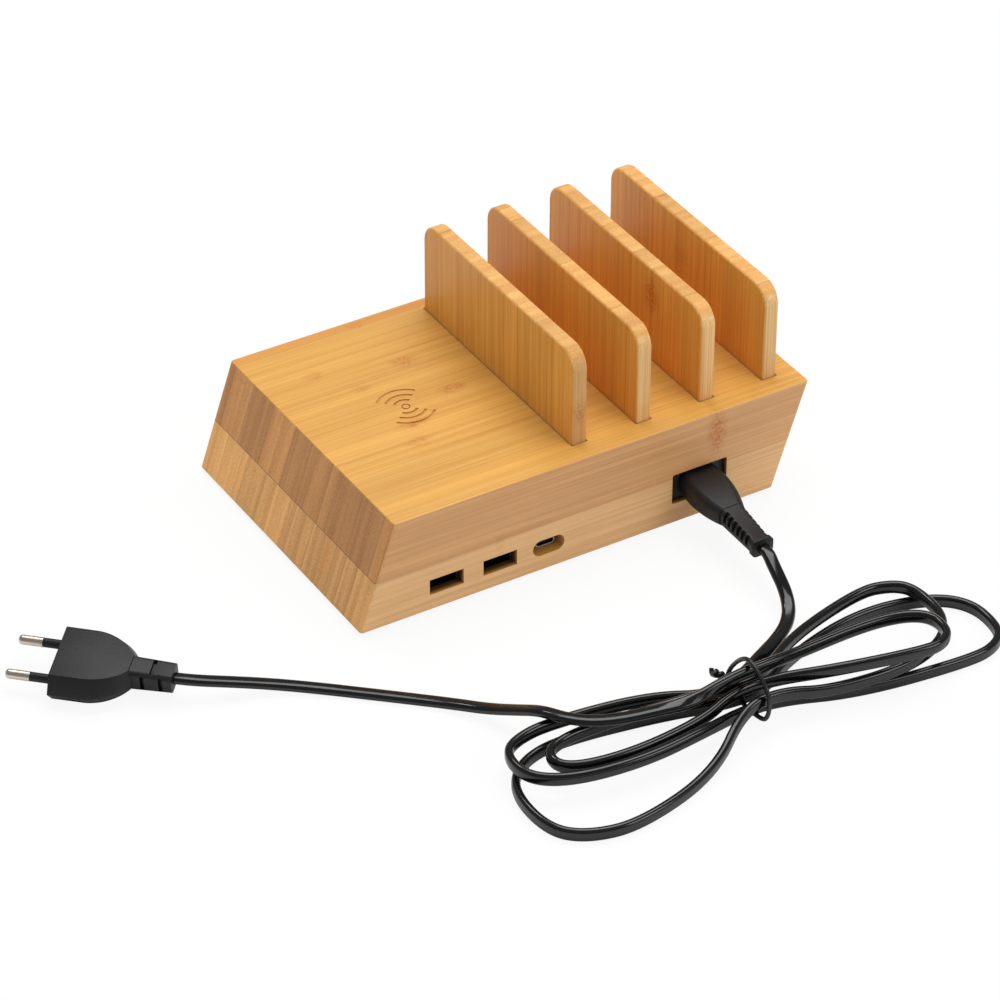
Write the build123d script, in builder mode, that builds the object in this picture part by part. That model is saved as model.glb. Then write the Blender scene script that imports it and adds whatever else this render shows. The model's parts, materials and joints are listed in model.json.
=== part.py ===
from build123d import *
import math
import os

os.makedirs("parts", exist_ok=True)

# Charging station organizer: a bamboo box with a charging pad, four upright
# dividers, two USB-A ports, one USB-C port and a two-pole mains inlet.
# Millimetres, +Z up. The origin is on the table under the middle of the box.
# The ports face -Y and both ends of the box lean towards +X.

# Box
body_length = 196.0
lean = 16.0
body_depth = 134.0
lower_height = 22.0
upper_height = 26.0
foot_height = 1.5
edge_ease = 0.8
corner_ease = 1.6
end_wall = 11.0
front_wall = 10.0
pocket_corner = 11.0
upper_pocket_depth = 12.5
overrun = 1.0

body_bottom = foot_height
joint_height = body_bottom + lower_height
body_top = joint_height + upper_height
half_length = (body_length + lean) / 2
front_y = -body_depth / 2
pocket_left = -half_length + lean + end_wall / 2
pocket_right = half_length - lean - end_wall
pocket_length = pocket_right - pocket_left
pocket_depth = body_depth - 2 * front_wall
pocket_x = (pocket_left + pocket_right) / 2

# Bottom cover, its screws and the feet
cover_thickness = 3.0
cover_ledge = 4.5
cover_fit = 0.25
screw_inset = 5.5
screw_radius = 1.5
screw_head_radius = 2.9
screw_head_depth = 1.4
screw_length = 12.0
thread_fit = 0.05
foot_radius = 7.0
foot_inset = 20.0
foot_ease = 0.5

rebate_length = pocket_length + 2 * cover_ledge
rebate_depth = pocket_depth + 2 * cover_ledge
rebate_corner = cover_ledge
cover_top = body_bottom + cover_thickness
screw_span_x = rebate_length - 2 * screw_inset
screw_span_y = rebate_depth - 2 * screw_inset

# Dividers
divider_count = 4
divider_thickness = 7.0
divider_rise = 43.0
divider_depth = 117.0
divider_front_margin = 10.0
divider_corner = 9.0
divider_ease = 1.2
first_divider_from_left = 104.0
last_divider_from_right = 9.8
groove_depth = 8.0
groove_fit = 0.05

groove_floor = body_top - groove_depth
divider_top = body_top + divider_rise
divider_front = front_y + divider_front_margin
divider_middle_y = divider_front + divider_depth / 2
divider_span = (
    2 * half_length - first_divider_from_left - last_divider_from_right - divider_thickness
)
divider_pitch = divider_span / (divider_count - 1)
divider_lefts = [
    -half_length + first_divider_from_left + index * divider_pitch
    for index in range(divider_count)
]

# Ports, measured from the box's bottom left corner, and the inlet from the right end
port_height = 11.1
usb_a_from_left = 39.9
usb_a_spacing = 24.8
usb_a_cut_width = 15.7
usb_a_cut_height = 7.1
usb_c_from_left = 87.4
usb_c_cut_width = 14.8
usb_c_cut_height = 7.4
port_recess = 3.0
inlet_from_right = 52.6
inlet_height = 16.8
inlet_cut_width = 26.3
inlet_cut_height = 14.3
inlet_cut_corner = 1.0
inlet_recess = 2.5

port_z = body_bottom + port_height
usb_a_xs = [
    -half_length + usb_a_from_left,
    -half_length + usb_a_from_left + usb_a_spacing,
]
usb_c_x = -half_length + usb_c_from_left
inlet_x = half_length - inlet_from_right
inlet_z = body_bottom + inlet_height

# Charging pad: mark, coil, ferrite and holder
pad_from_left = 61.0
pad_from_front = 68.0
mark_radii = (4.7, 8.3, 12.0)
mark_centre_radius = 1.9
mark_line = 1.2
mark_depth = 0.4
mark_arc_degrees = 96
pad_skin = 3.5
coil_outer_radius = 25.0
coil_inner_radius = 11.0
coil_thickness = 1.2
ferrite_radius = 27.0
ferrite_thickness = 1.0
holder_boss_radius = 28.5
holder_wall = 2.0
holder_flange_radius = 35.0
holder_flange = 2.0
holder_fit = 0.3
holder_screw_circle_radius = 32.0
holder_screw_radius = 1.25
holder_screw_length = 7.0
holder_screw_head_radius = 2.3
holder_screw_head = 1.2
holder_screw_count = 3
lead_hole_radius = 5.0
wire_radius = 0.8
wire_bend = 3.0
wire_run = 6.0
coil_lead_spacing = 5.0
coil_lead_margin = 1.6

pad_x = -half_length + pad_from_left
pad_y = front_y + pad_from_front
pad_underside = body_top - pad_skin
pocket_ceiling = joint_height + upper_pocket_depth
coil_bottom = pad_underside - coil_thickness
ferrite_bottom = coil_bottom - ferrite_thickness

# Boards inside the box
board_thickness = 1.6
board_lift = 3.5
post_radius = 2.6
post_inset = 4.0
charger_board_length = 66.0
charger_board_depth = 34.0
board_wall_gap = 1.0
power_board_end_gap = 8.0
power_board_depth = 66.0
power_board_back_shift = 14.0
board_side_gap = 8.0

board_bottom = cover_top + board_lift
board_top = board_bottom + board_thickness
wall_inner_y = front_y + front_wall
charger_board_x = (usb_a_xs[0] + usb_c_x) / 2
charger_board_y = wall_inner_y + board_wall_gap + charger_board_depth / 2
charger_board_right = charger_board_x + charger_board_length / 2
power_board_left = charger_board_right + board_side_gap
power_board_length = pocket_right - power_board_end_gap - power_board_left
power_board_x = power_board_left + power_board_length / 2
power_board_y = wall_inner_y + power_board_back_shift + power_board_depth / 2

# USB receptacles
usb_a_shell_width = 13.2
usb_a_shell_height = 6.0
usb_a_shell_depth = 14.0
usb_shell_wall = 0.4
usb_a_tongue_width = 11.0
usb_a_tongue_height = 1.9
usb_a_tongue_reach = 8.6
usb_a_contact_width = 1.0
usb_a_contact_height = 0.2
usb_a_contact_reach = 7.0
usb_a_contact_pitch = 2.3
usb_a_contact_count = 4
usb_back_wall = 3.0
usb_c_shell_width = 8.94
usb_c_shell_height = 3.2
usb_c_shell_depth = 10.5
usb_c_tongue_width = 6.7
usb_c_tongue_height = 0.7
usb_c_tongue_reach = 5.5
usb_c_back_wall = 4.0
usb_c_riser_depth = 5.0

usb_front_y = front_y + port_recess
usb_a_back_y = usb_front_y + usb_a_shell_depth
usb_c_back_y = usb_front_y + usb_c_shell_depth

# Parts on the power board
transformer_length = 22.0
transformer_depth = 19.0
transformer_height = 17.0
transformer_bobbin_height = 12.0
transformer_bobbin_margin = 3.0
capacitor_radius = 5.0
capacitor_height = 18.0
capacitor_pitch = 12.0
capacitor_count = 3
capacitor_rim = 0.6
inductor_radius = 4.5
inductor_height = 6.0
inductor_corner = 1.1
inductor_pitch = 14.0
inductor_count = 3
transformer_shift = 16.0
capacitor_shift = 8.0

# Mains inlet and its pins
inlet_fit = 0.15
inlet_housing_length = 19.0
inlet_flange_thickness = 2.0
inlet_flange_margin = 1.5
inlet_floor = 4.5
inlet_pin_radius = 1.18
inlet_pin_spacing = 8.6
inlet_pin_reach = 9.5
inlet_pin_tail = 6.0
inlet_pin_ease = 0.55
nose_width = 14.2
nose_height = 8.2
nose_length = 11.5
plug_in_gap = 0.3

inlet_front_y = front_y + inlet_recess
inlet_back_y = inlet_front_y + inlet_housing_length
cavity_depth = inlet_housing_length - inlet_floor

# Two-pole connector on the mains lead
connector_middle = 17.0
connector_end = 25.0
connector_head = (17.4, 10.8)
connector_waist = (16.6, 10.4)
connector_tail = (12.4, 8.8)
connector_corner = 3.6
relief_length = 22.0
relief_start = (10.8, 8.2)
relief_end = (9.2, 6.8)
relief_corner = 2.4
relief_collar = 2.0
relief_collar_stand = 0.5
relief_notches = 6
relief_notch_width = 1.9
relief_notch_depth = 2.2
relief_notch_height = 5.0
relief_notch_rise = 1.9
connector_sway = 1.8
connector_droop = 2.3
contact_radius = 1.9
contact_bore = 1.27
contact_length = 8.5

# Mains plug with two round pins
plug_width = 35.3
plug_height = 13.7
plug_flat = 26.1
plug_straight = 12.0
plug_body_length = 31.0
plug_tail_width = 12.4
plug_tail_flat = 7.2
plug_flat_length = 29.0
plug_tail_height = 10.2
plug_neck_length = 15.5
plug_neck_overlap = 3.5
plug_neck_start = (11.2, 9.8)
plug_neck_end = (10.4, 8.8)
plug_neck_corner = 2.4
plug_notch_width = 1.6
plug_notch_depth = 2.6
plug_notch_span = 7.0
plug_side_notch_distances = (3.8, 11.1)
plug_flat_notch_distance = 7.45
plug_flat_notch_depth = 2.0
plug_flat_notch_span = 8.0
pin_spacing = 18.6
pin_length = 19.0
pin_tip_length = 10.0
pin_radius = 2.0
pin_tip_ease = 1.6
pin_core_radius = 1.5
sleeve_radius = 1.9
pin_root = 6.0
plug_face_x = -219.53
plug_face_y = -30.32
plug_heading_degrees = 136.7
plug_roll_degrees = 9.0

# Flat twin cord, and the wire tie round its hank
cord_width = 5.6
cord_thickness = 3.4
cord_corner_share = 0.45
arc_run_share = 0.45
tie_radius = 1.1
tie_clearance = 1.0
tie_corner = 2.5
tie_far_share = 0.85
gap_sample_step = 2.0
gap_skip_length = 25.0
tie_tail_length = 9.0
tie_tail_width = 4.4
tie_tail_rise = 5.0

# Hank: seven passes through the tie, joined by three lobes on each side
hank_middle_y = -183.6
hank_slot = 4.1
hank_level = 6.45
hank_neck = 9.0
hank_reach = 112.0
hank_lift = 2 * tie_radius + tie_clearance / 2
pass_slot_shares = (1.75, -1.5, 0.4, -2.6, 0.65, -0.3, 0.0)
pass_levels = (0, 0, 0, 1, 1, 1, 2.1)
lobe_levels = (1, 0, 0, 1, 1, 2.2)
lobe_reach_shares = (0.902, 1.0, 0.946, 0.83, 0.777, 0.732)
lobe_far_shares = (0.201, 0.228, 0.165, 0.272, 0.107, 0.030)
lobe_near_shares = (-0.138, -0.196, -0.357, -0.174, -0.085, -0.205)
lobe_tip_shares = (0.071, -0.027, -0.125, 0.125, 0.022, -0.105)
lobe_far_belly_shares = (0.76, 0.60, 0.72, 0.78, 0.76, 0.66)
lobe_near_belly_shares = (0.55, 0.82, 0.70, 0.62, 0.62, 0.84)
shoulder_x_share = 0.46
shoulder_y_share = 0.62
corner_x_share = 0.66
corner_y_share = 0.84
tip_y_share = 0.42

# Route points of the hank's two ends and of the cord's free stretches
hank_start = (19.0, -163.9, 5.1)
hank_end = (-27.0, -185.6, 16.2)
connector_route = [
    (50.6, -125.0, 13.9),
    (50.1, -129.8, 11.4),
    (49.8, -134.8, 8.2),
    (48.1, -140.4, 5.2),
    (44.2, -146.4, 3.8),
    (37.2, -152.7, 3.3),
]
plug_route = [
    (-41.5, -182.4, 15.7),
    (-54.0, -179.6, 15.4),
    (-65.5, -175.2, 15.3),
    (-73.5, -168.0, 15.3),
    (-78.6, -158.6, 14.7),
    (-82.6, -148.6, 9.8),
    (-88.5, -136.6, 4.6),
    (-97.0, -124.6, 2.4),
    (-108.5, -113.3, 1.8),
    (-121.5, -101.8, 1.8),
    (-136.3, -89.0, 1.9),
    (-150.6, -79.3, 3.2),
    (-165.5, -73.2, 6.2),
]
connector_straight = 4.0
straight_exit = 6.5


def lean_at(height):
    """How far the leaning ends have moved along X at a height."""
    return lean * (height - body_bottom) / (body_top - body_bottom)


def block_outline(bottom, top):
    """The leaning side outline of one layer of the box."""
    return [
        (-half_length + lean_at(bottom), bottom),
        (-half_length + body_length + lean_at(bottom), bottom),
        (-half_length + body_length + lean_at(top), top),
        (-half_length + lean_at(top), top),
    ]


def upright_edges(block):
    """The four leaning corner edges of a layer."""
    along_x = block.edges().filter_by(Axis.X)
    along_y = block.edges().filter_by(Axis.Y)
    return [edge for edge in block.edges() if edge not in along_x and edge not in along_y]


def save(block, name):
    """Label a finished piece and write its file."""
    block.part.label = name
    export_step(block.part, f"parts/{name}.step")


def port_openings():
    """The outlines of the port openings, just outside the front face."""
    with BuildSketch(Plane.XZ.offset(-front_y + overrun)) as openings:
        for usb_a_x in usb_a_xs:
            with Locations((usb_a_x, port_z)):
                Rectangle(usb_a_cut_width, usb_a_cut_height)
        with Locations((usb_c_x, port_z)):
            SlotOverall(usb_c_cut_width, usb_c_cut_height)
        with Locations((inlet_x, inlet_z)):
            RectangleRounded(inlet_cut_width, inlet_cut_height, inlet_cut_corner)
    return openings.sketch


# Lower layer of the box: an open frame with a rebate for the cover
with BuildPart() as lower_block:
    with BuildSketch(Plane.XZ):
        with BuildLine():
            Polyline(*block_outline(body_bottom, joint_height), close=True)
        make_face()
    extrude(amount=body_depth / 2, both=True)
    fillet(upright_edges(lower_block), corner_ease)
    fillet(lower_block.faces().sort_by(Axis.Z)[0].edges(), edge_ease)
    with BuildSketch(Plane.XY.offset(body_bottom)):
        with Locations((pocket_x, 0)):
            RectangleRounded(pocket_length, pocket_depth, pocket_corner)
    extrude(amount=lower_height, mode=Mode.SUBTRACT)
    with BuildSketch(Plane.XY.offset(body_bottom)):
        with Locations((pocket_x, 0)):
            RectangleRounded(rebate_length, rebate_depth, rebate_corner)
    extrude(amount=cover_thickness, mode=Mode.SUBTRACT)
    extrude(port_openings(), amount=-(front_wall + 2 * overrun), mode=Mode.SUBTRACT)
    with BuildSketch(Plane.XY.offset(cover_top)):
        with Locations((pocket_x, 0)):
            with GridLocations(screw_span_x, screw_span_y, 2, 2):
                Circle(screw_radius + thread_fit)
    extrude(amount=screw_length, mode=Mode.SUBTRACT)
save(lower_block, "lower_block")

# Upper layer: pocket below, a round well for the coil, four divider grooves
# and the shallow charging mark in the top face
with BuildPart() as upper_block:
    with BuildSketch(Plane.XZ):
        with BuildLine():
            Polyline(*block_outline(joint_height, body_top), close=True)
        make_face()
    extrude(amount=body_depth / 2, both=True)
    fillet(upright_edges(upper_block), corner_ease)
    fillet(upper_block.faces().sort_by(Axis.Z)[-1].edges(), edge_ease)
    with BuildSketch(Plane.XY.offset(joint_height)):
        with Locations((pocket_x, 0)):
            RectangleRounded(pocket_length, pocket_depth, pocket_corner)
    extrude(amount=upper_pocket_depth, mode=Mode.SUBTRACT)
    with BuildSketch(Plane.XY.offset(pocket_ceiling)):
        with Locations((pad_x, pad_y)):
            Circle(holder_boss_radius + holder_fit)
    extrude(amount=pad_underside - pocket_ceiling, mode=Mode.SUBTRACT)
    extrude(port_openings(), amount=-(front_wall + 2 * overrun), mode=Mode.SUBTRACT)
    for divider_left in divider_lefts:
        with BuildSketch(Plane.XY.offset(groove_floor)):
            with Locations((divider_left + divider_thickness / 2, divider_middle_y)):
                Rectangle(divider_thickness + 2 * groove_fit, divider_depth + 2 * groove_fit)
        extrude(amount=groove_depth + overrun, mode=Mode.SUBTRACT)
    with BuildSketch(Plane.XY.offset(pocket_ceiling)):
        with Locations((pad_x, pad_y)):
            with PolarLocations(holder_screw_circle_radius, holder_screw_count):
                Circle(holder_screw_radius + thread_fit)
    extrude(amount=holder_screw_length - holder_flange, mode=Mode.SUBTRACT)
    with BuildSketch(Plane(origin=(pad_x, pad_y, body_top))):
        Circle(mark_centre_radius)
        Circle(mark_centre_radius - mark_line / 2, mode=Mode.SUBTRACT)
        with BuildLine():
            for mark_radius in mark_radii:
                for middle_angle in (90, 270):
                    start_angle = middle_angle - mark_arc_degrees / 2
                    CenterArc((0, 0), mark_radius, start_angle, mark_arc_degrees)
        trace(line_width=mark_line)
    extrude(amount=-mark_depth, mode=Mode.SUBTRACT)
save(upper_block, "upper_block")

# Upright dividers, each seated in its groove
for index, divider_left in enumerate(divider_lefts):
    with BuildPart() as divider:
        with BuildSketch(Plane.YZ.offset(divider_left)):
            with Locations((divider_middle_y, (groove_floor + divider_top) / 2)):
                Rectangle(divider_depth, divider_top - groove_floor)
        extrude(amount=divider_thickness)
        fillet(divider.edges().filter_by(Axis.X).group_by(Axis.Z)[-1], divider_corner)
        for side in (0, -1):
            side_face = divider.faces().filter_by(Axis.X).sort_by(Axis.X)[side]
            bottom_edge = side_face.edges().sort_by(Axis.Z)[0]
            eased = [edge for edge in side_face.edges() if edge != bottom_edge]
            fillet(eased, divider_ease)
    save(divider, f"divider_{index + 1}")

# Bottom cover with the posts that carry the boards
charger_posts = [
    (
        charger_board_x + side_x * (charger_board_length / 2 - post_inset),
        charger_board_y + side_y * (charger_board_depth / 2 - post_inset),
    )
    for side_x in (-1, 1)
    for side_y in (-1, 1)
]
power_posts = [
    (
        power_board_x + side_x * (power_board_length / 2 - post_inset),
        power_board_y + side_y * (power_board_depth / 2 - post_inset),
    )
    for side_x in (-1, 1)
    for side_y in (-1, 1)
]
with BuildPart() as bottom_cover:
    with BuildSketch(Plane.XY.offset(body_bottom)):
        with Locations((pocket_x, 0)):
            RectangleRounded(
                rebate_length - 2 * cover_fit, rebate_depth - 2 * cover_fit, rebate_corner
            )
    extrude(amount=cover_thickness)
    with BuildSketch(Plane.XY.offset(cover_top)):
        with Locations(*charger_posts, *power_posts):
            Circle(post_radius)
    extrude(amount=board_lift)
    with Locations(Plane(origin=(pocket_x, 0, body_bottom), x_dir=(1, 0, 0), z_dir=(0, 0, -1))):
        with GridLocations(screw_span_x, screw_span_y, 2, 2):
            CounterSinkHole(screw_radius + cover_fit, screw_head_radius + cover_fit)
save(bottom_cover, "bottom_cover")

# Four countersunk wood screws hold the cover
with BuildPart() as cover_screw:
    with BuildSketch(Plane.XZ):
        with BuildLine():
            Polyline(
                (0, body_bottom),
                (screw_head_radius, body_bottom),
                (screw_radius, body_bottom + screw_head_depth),
                (screw_radius, cover_top + screw_length - screw_radius - cover_fit),
                (0, cover_top + screw_length - cover_fit),
                close=True,
            )
        make_face()
    revolve(axis=Axis.Z)
with BuildPart() as cover_screws:
    with Locations((pocket_x, 0, 0)):
        with GridLocations(screw_span_x, screw_span_y, 2, 2):
            add(cover_screw.part)
save(cover_screws, "cover_screws")

# Four rubber feet under the cover
with BuildPart() as rubber_feet:
    with BuildSketch():
        with Locations((pocket_x, 0)):
            with GridLocations(rebate_length - 2 * foot_inset, rebate_depth - 2 * foot_inset, 2, 2):
                Circle(foot_radius)
    extrude(amount=foot_height)
    fillet(rubber_feet.edges().group_by(Axis.Z)[0], foot_ease)
save(rubber_feet, "rubber_feet")

# Charging coil, ferrite plate and the plastic holder that presses them up
# against the wood
with BuildPart() as charging_coil:
    with BuildSketch(Plane(origin=(pad_x, pad_y, coil_bottom))):
        Circle(coil_outer_radius)
        Circle(coil_inner_radius, mode=Mode.SUBTRACT)
    extrude(amount=coil_thickness)
save(charging_coil, "charging_coil")

with BuildPart() as ferrite_plate:
    with BuildSketch(Plane(origin=(pad_x, pad_y, ferrite_bottom))):
        Circle(ferrite_radius)
        Circle(lead_hole_radius, mode=Mode.SUBTRACT)
    extrude(amount=ferrite_thickness)
save(ferrite_plate, "ferrite_plate")

holder_inner = holder_boss_radius - holder_wall
holder_top_underside = ferrite_bottom - holder_wall
flange_underside = pocket_ceiling - holder_flange
with BuildPart() as coil_holder:
    with BuildSketch(Plane(origin=(pad_x, pad_y, 0), x_dir=(1, 0, 0), z_dir=(0, -1, 0))):
        with BuildLine():
            Polyline(
                (lead_hole_radius, holder_top_underside),
                (holder_inner, holder_top_underside),
                (holder_inner, flange_underside),
                (holder_flange_radius, flange_underside),
                (holder_flange_radius, pocket_ceiling),
                (holder_boss_radius, pocket_ceiling),
                (holder_boss_radius, ferrite_bottom),
                (lead_hole_radius, ferrite_bottom),
                close=True,
            )
        make_face()
    revolve(axis=Axis((pad_x, pad_y, 0), (0, 0, 1)))
    with BuildSketch(Plane(origin=(pad_x, pad_y, flange_underside))):
        with PolarLocations(holder_screw_circle_radius, holder_screw_count):
            Circle(holder_screw_radius + thread_fit)
    extrude(amount=holder_flange, mode=Mode.SUBTRACT)
save(coil_holder, "coil_holder")

with BuildPart() as holder_screws:
    with BuildSketch(Plane(origin=(pad_x, pad_y, flange_underside))):
        with PolarLocations(holder_screw_circle_radius, holder_screw_count):
            Circle(holder_screw_radius)
    extrude(amount=holder_screw_length - cover_fit)
    with BuildSketch(Plane(origin=(pad_x, pad_y, flange_underside))):
        with PolarLocations(holder_screw_circle_radius, holder_screw_count):
            Circle(holder_screw_head_radius)
    extrude(amount=-holder_screw_head)
save(holder_screws, "holder_screws")

# Two circuit boards on the cover's posts
with BuildPart() as charger_board:
    with BuildSketch(Plane.XY.offset(board_bottom)):
        with Locations((charger_board_x, charger_board_y)):
            Rectangle(charger_board_length, charger_board_depth)
    extrude(amount=board_thickness)
save(charger_board, "charger_board")

with BuildPart() as power_board:
    with BuildSketch(Plane.XY.offset(board_bottom)):
        with Locations((power_board_x, power_board_y)):
            Rectangle(power_board_length, power_board_depth)
    extrude(amount=board_thickness)
save(power_board, "power_board")

# USB-A receptacles: shells, tongues and contacts
shell_z = board_top + usb_a_shell_height / 2
with BuildPart() as usb_a_shells:
    with BuildSketch(Plane.XZ.offset(-usb_a_back_y)):
        for usb_a_x in usb_a_xs:
            with Locations((usb_a_x, shell_z)):
                Rectangle(usb_a_shell_width, usb_a_shell_height)
    extrude(amount=usb_a_shell_depth)
    with BuildSketch(Plane.XZ.offset(-usb_a_back_y + usb_back_wall)):
        for usb_a_x in usb_a_xs:
            with Locations((usb_a_x, shell_z)):
                Rectangle(
                    usb_a_shell_width - 2 * usb_shell_wall, usb_a_shell_height - 2 * usb_shell_wall
                )
    extrude(amount=usb_a_shell_depth, mode=Mode.SUBTRACT)
save(usb_a_shells, "usb_a_shells")

tongue_z = board_top + usb_a_shell_height - usb_shell_wall - usb_a_tongue_height / 2
contact_z = tongue_z - usb_a_tongue_height / 2 - usb_a_contact_height / 2
with BuildPart() as usb_a_tongues:
    with BuildSketch(Plane.XZ.offset(-usb_a_back_y + usb_back_wall)):
        for usb_a_x in usb_a_xs:
            with Locations((usb_a_x, tongue_z)):
                Rectangle(usb_a_tongue_width, usb_a_tongue_height)
    extrude(amount=usb_a_tongue_reach)
save(usb_a_tongues, "usb_a_tongues")

with BuildPart() as usb_a_contacts:
    with BuildSketch(Plane.XZ.offset(-usb_a_back_y + usb_back_wall)):
        for usb_a_x in usb_a_xs:
            with Locations((usb_a_x, contact_z)):
                with GridLocations(usb_a_contact_pitch, 0, usb_a_contact_count, 1):
                    Rectangle(usb_a_contact_width, usb_a_contact_height)
    extrude(amount=usb_a_contact_reach)
save(usb_a_contacts, "usb_a_contacts")

# USB-C receptacle on its riser
usb_c_bottom = port_z - usb_c_shell_height / 2
with BuildPart() as usb_c_riser:
    with BuildSketch(Plane.XY.offset(board_top)):
        with Locations((usb_c_x, usb_c_back_y - usb_c_riser_depth / 2)):
            Rectangle(usb_c_shell_width, usb_c_riser_depth)
    extrude(amount=usb_c_bottom - board_top)
save(usb_c_riser, "usb_c_riser")

with BuildPart() as usb_c_shell:
    with BuildSketch(Plane.XZ.offset(-usb_c_back_y)):
        with Locations((usb_c_x, port_z)):
            SlotOverall(usb_c_shell_width, usb_c_shell_height)
    extrude(amount=usb_c_shell_depth)
    with BuildSketch(Plane.XZ.offset(-usb_c_back_y + usb_c_back_wall)):
        with Locations((usb_c_x, port_z)):
            SlotOverall(
                usb_c_shell_width - 2 * usb_shell_wall, usb_c_shell_height - 2 * usb_shell_wall
            )
    extrude(amount=usb_c_shell_depth, mode=Mode.SUBTRACT)
save(usb_c_shell, "usb_c_shell")

with BuildPart() as usb_c_tongue:
    with BuildSketch(Plane.XZ.offset(-usb_c_back_y + usb_c_back_wall)):
        with Locations((usb_c_x, port_z)):
            Rectangle(usb_c_tongue_width, usb_c_tongue_height)
    extrude(amount=usb_c_tongue_reach)
save(usb_c_tongue, "usb_c_tongue")

# Mains inlet: a moulded socket with a flange behind the wall
with BuildPart() as inlet_housing:
    with BuildSketch(Plane.XZ.offset(-inlet_front_y)):
        with Locations((inlet_x, inlet_z)):
            RectangleRounded(
                inlet_cut_width - 2 * inlet_fit, inlet_cut_height - 2 * inlet_fit, inlet_cut_corner
            )
    extrude(amount=-inlet_housing_length)
    with BuildSketch(Plane.XZ.offset(-wall_inner_y)):
        with Locations((inlet_x, inlet_z)):
            RectangleRounded(
                inlet_cut_width + 2 * inlet_flange_margin,
                inlet_cut_height + 2 * inlet_flange_margin,
                inlet_cut_corner,
            )
    extrude(amount=-inlet_flange_thickness)
    with BuildSketch(Plane.XZ.offset(-inlet_front_y)):
        with Locations((inlet_x, inlet_z)):
            SlotOverall(nose_width + 2 * plug_in_gap, nose_height + 2 * plug_in_gap)
    extrude(amount=-cavity_depth, mode=Mode.SUBTRACT)
    with BuildSketch(Plane.XZ.offset(-inlet_back_y)):
        with Locations((inlet_x, inlet_z)):
            with GridLocations(inlet_pin_spacing, 0, 2, 1):
                Circle(inlet_pin_radius)
    extrude(amount=inlet_floor, mode=Mode.SUBTRACT)
save(inlet_housing, "inlet_housing")

pin_tip_y = inlet_back_y - inlet_floor - inlet_pin_reach
with BuildPart() as inlet_pins:
    with BuildSketch(Plane.XZ.offset(-pin_tip_y)):
        with Locations((inlet_x, inlet_z)):
            with GridLocations(inlet_pin_spacing, 0, 2, 1):
                Circle(inlet_pin_radius)
    extrude(amount=-(inlet_pin_reach + inlet_floor + inlet_pin_tail))
    fillet(inlet_pins.edges().group_by(Axis.Y)[0], inlet_pin_ease)
save(inlet_pins, "inlet_pins")

# Parts on the boards
with BuildPart() as transformer:
    with BuildSketch(Plane.XY.offset(board_top)):
        with Locations((power_board_x, power_board_y + transformer_shift)):
            Rectangle(transformer_length, transformer_depth)
    extrude(amount=transformer_height)
    with BuildSketch(Plane.XY.offset(board_top)):
        with Locations((power_board_x, power_board_y + transformer_shift)):
            Rectangle(
                transformer_length - 2 * transformer_bobbin_margin,
                transformer_depth + 2 * transformer_bobbin_margin,
            )
    extrude(amount=transformer_bobbin_height)
save(transformer, "transformer")

capacitor_row_y = power_board_y - capacitor_shift
with BuildPart() as smoothing_capacitors:
    with BuildSketch(Plane.XY.offset(board_top)):
        with Locations((power_board_x, capacitor_row_y)):
            with GridLocations(capacitor_pitch, 0, capacitor_count, 1):
                Circle(capacitor_radius)
    extrude(amount=capacitor_height)
    fillet(smoothing_capacitors.edges().group_by(Axis.Z)[-1], capacitor_rim)
save(smoothing_capacitors, "smoothing_capacitors")

inductor_row_y = charger_board_y + charger_board_depth / 2 - post_inset - inductor_radius
with BuildPart() as inductors:
    with BuildSketch(Plane.XY.offset(board_top)):
        with Locations((charger_board_x, inductor_row_y)):
            with GridLocations(inductor_pitch, 0, inductor_count, 1):
                RectangleRounded(2 * inductor_radius, 2 * inductor_radius, inductor_corner)
    extrude(amount=inductor_height)
save(inductors, "inductors")

# Insulated wires: mains from the inlet pins, and the coil's two leads
def wire_path(points):
    """Straight runs joined by arcs of the wires' own bend."""
    with BuildLine() as line:
        FilletPolyline(*points, radius=wire_bend)
    return line.line


tail_y = inlet_back_y + inlet_pin_tail
with BuildPart() as mains_wires:
    for side in (-1, 1):
        wire_x = inlet_x + side * inlet_pin_spacing / 2
        path = wire_path(
            [
                (wire_x, tail_y, inlet_z),
                (wire_x, tail_y + wire_run, inlet_z),
                (wire_x, tail_y + wire_run, board_top),
            ]
        )
        with BuildSketch(Plane(origin=path @ 0, z_dir=path % 0)):
            Circle(wire_radius)
        sweep(path=path)
save(mains_wires, "mains_wires")

lead_mouth_y = charger_board_y + charger_board_depth / 2 - coil_lead_margin
with BuildPart() as coil_leads:
    for side in (-1, 1):
        lead_x = pad_x + side * coil_lead_spacing / 2
        path = wire_path(
            [
                (lead_x, pad_y, coil_bottom + coil_thickness / 2),
                (lead_x, pad_y, holder_top_underside - wire_run),
                (lead_x, lead_mouth_y, holder_top_underside - wire_run),
                (lead_x, lead_mouth_y, board_top),
            ]
        )
        with BuildSketch(Plane(origin=path @ 0, z_dir=path % 0)):
            Circle(wire_radius)
        sweep(path=path)
save(coil_leads, "coil_leads")

# Connector on the mains lead, pushed into the inlet
grip_start_y = inlet_front_y - plug_in_gap
grip_middle_y = front_y - connector_middle
grip_end_y = front_y - connector_end
relief_end_y = grip_end_y - relief_length
connector_back_y = relief_end_y - relief_collar


def lead_centre(y):
    """The connector's middle at a distance along it: straight in the box, drooping outside."""
    share = max(0, (front_y - y) / (front_y - connector_back_y))
    return inlet_x - connector_sway * share, inlet_z - connector_droop * share


def lead_section(y, size, corner):
    """A rounded cross-section of the connector, across the lead."""
    with BuildSketch(Plane.XZ.offset(-y)) as section:
        with Locations(lead_centre(y)):
            RectangleRounded(size[0], size[1], corner)
    return section.sketch


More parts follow.
